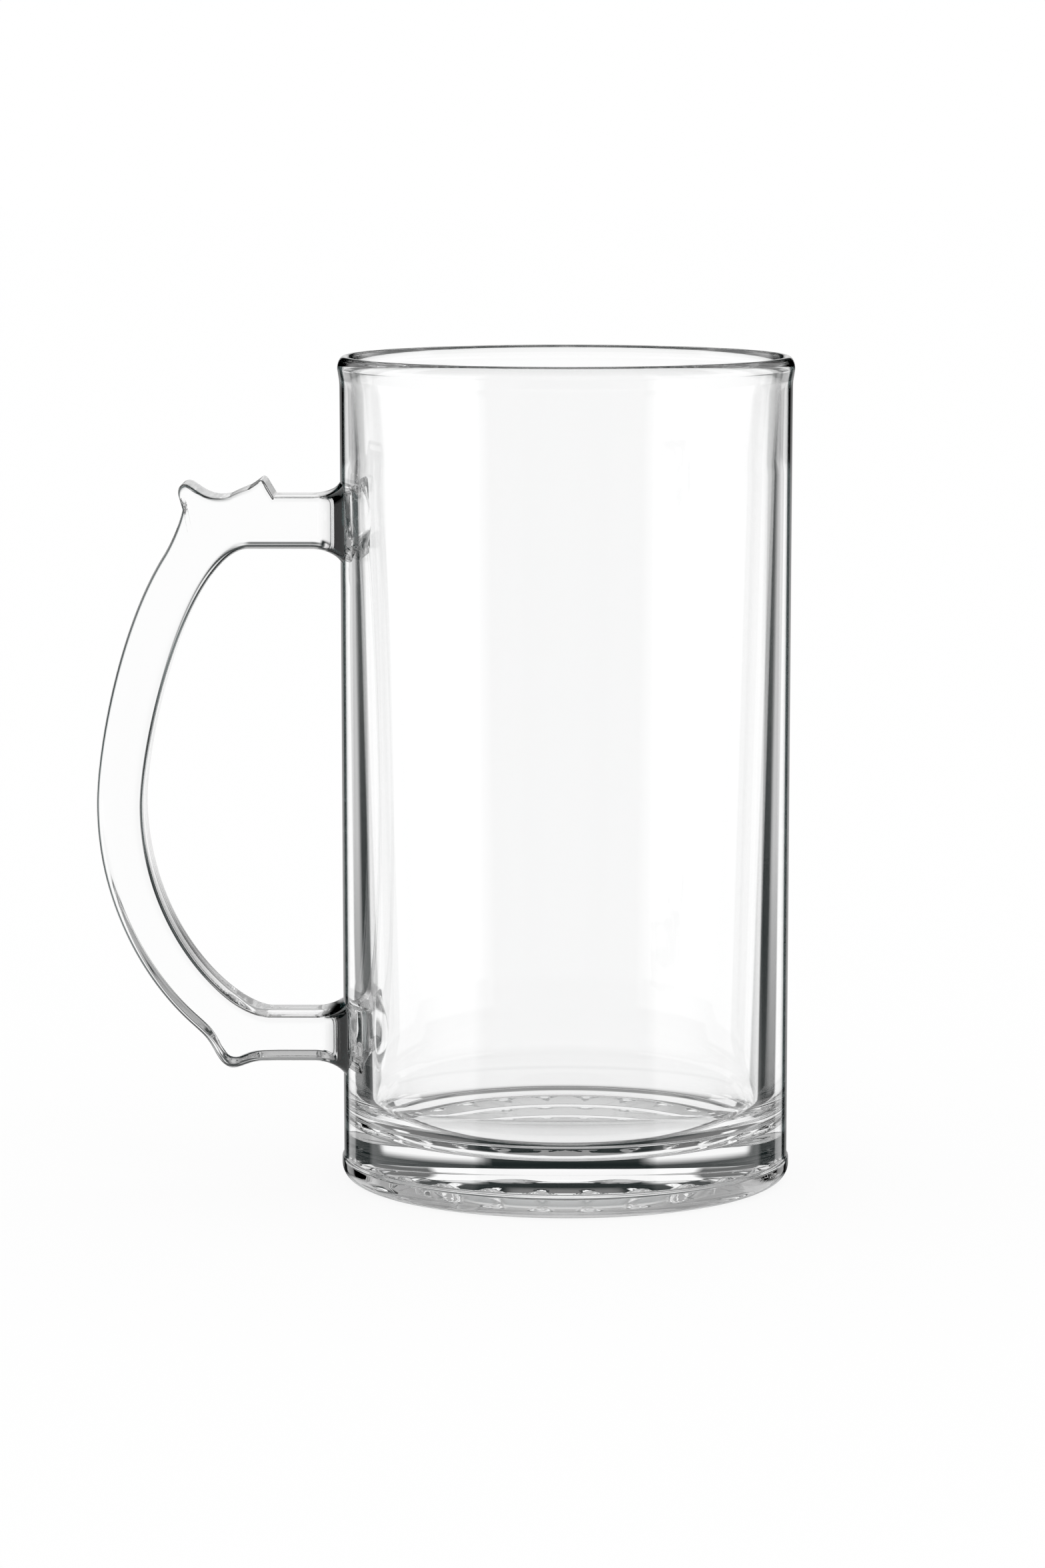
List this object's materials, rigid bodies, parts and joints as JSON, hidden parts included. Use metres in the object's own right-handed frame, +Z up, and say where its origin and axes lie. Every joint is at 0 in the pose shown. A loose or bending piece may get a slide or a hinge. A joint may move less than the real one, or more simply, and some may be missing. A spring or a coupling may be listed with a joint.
{
  "type": "glass beer mug",
  "caption": "Straight-sided clear glass beer mug with a thick fluted base and a solid D handle with a thumb rest, welded to the wall at flared collars.",
  "frame": {"origin": "centre of the flat ring that the mug stands on, on the bowl's axis", "axes": "+Z up along the bowl's axis, handle toward -X"},
  "size_m": [0.1307, 0.0854, 0.1555],
  "materials": {
    "bowl_glass": "clear pressed glass, fire polished",
    "weld_glass": "clear fused glass",
    "handle_glass": "clear pressed glass, fire polished"
  },
  "bodies": {
    "root": {"bowl": "bowl_glass", "upper_weld_collar": "weld_glass", "lower_weld_collar": "weld_glass", "handle": "handle_glass"}
  },
  "joints": []
}
